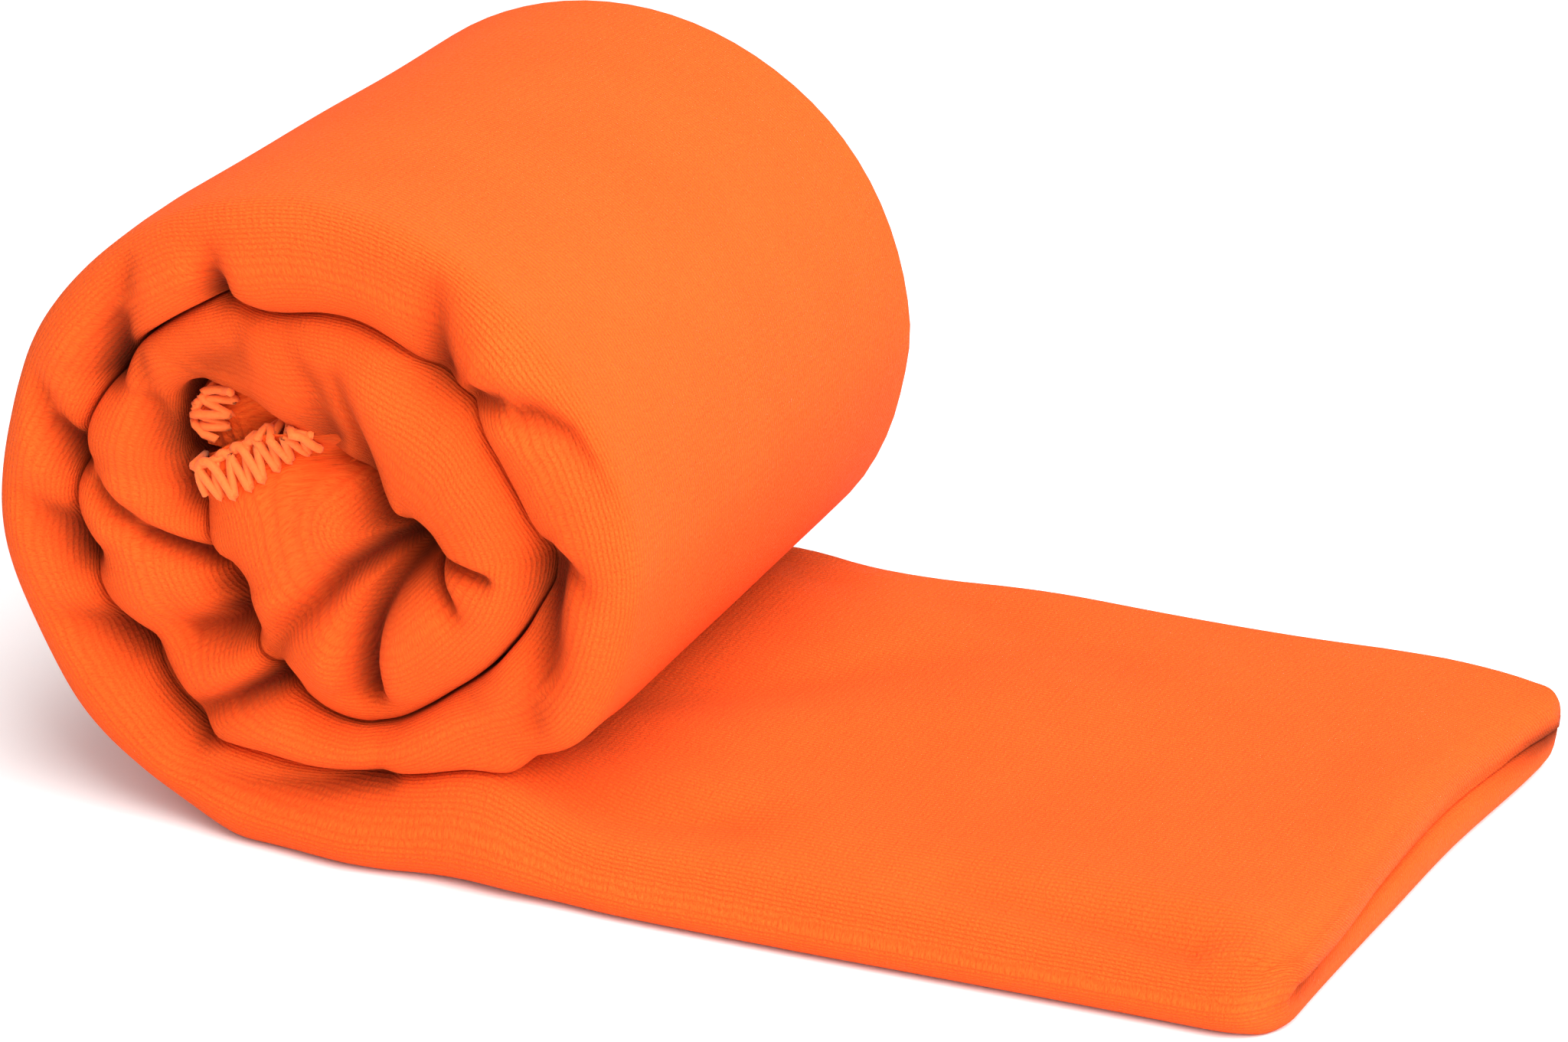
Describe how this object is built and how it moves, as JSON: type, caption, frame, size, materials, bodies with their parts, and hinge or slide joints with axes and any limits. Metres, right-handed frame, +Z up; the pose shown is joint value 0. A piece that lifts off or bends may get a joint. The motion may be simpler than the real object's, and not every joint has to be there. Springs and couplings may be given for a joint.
{
  "type": "folded travel towel",
  "caption": "Soft knitted towel folded lengthwise into a strip and loosely rolled, with its free end lying flat as a tongue that lifts.",
  "frame": {"origin": "on the resting surface, under the middle of the whole object's box", "axes": "+X from the roll along the tongue, +Y along the roll's axis from its near end to its far end, +Z up"},
  "size_m": [0.152, 0.0834, 0.072],
  "materials": {
    "knit_cloth": "brushed matt knit, vivid orange",
    "overlock_thread": "matt textured sewing thread, slightly lighter orange"
  },
  "bodies": {
    "roll": {"flat_run": "knit_cloth", "outer_wrap": "knit_cloth", "middle_wrap": "knit_cloth", "inner_wrap": "knit_cloth", "core_bundle": "knit_cloth", "end_hem_outer": "overlock_thread", "end_hem_inner": "overlock_thread"},
    "tongue": {"tongue_lower_half": "knit_cloth", "tongue_upper_half": "knit_cloth", "tongue_edge_fold": "knit_cloth"}
  },
  "joints": [
    {"name": "tongue_lift", "type": "hinge", "parent": "roll", "child": "tongue", "pos_m": [0.00495, 0, 0.00465], "axis": [0, -1, 0], "range_deg": [0, 80]}
  ]
}
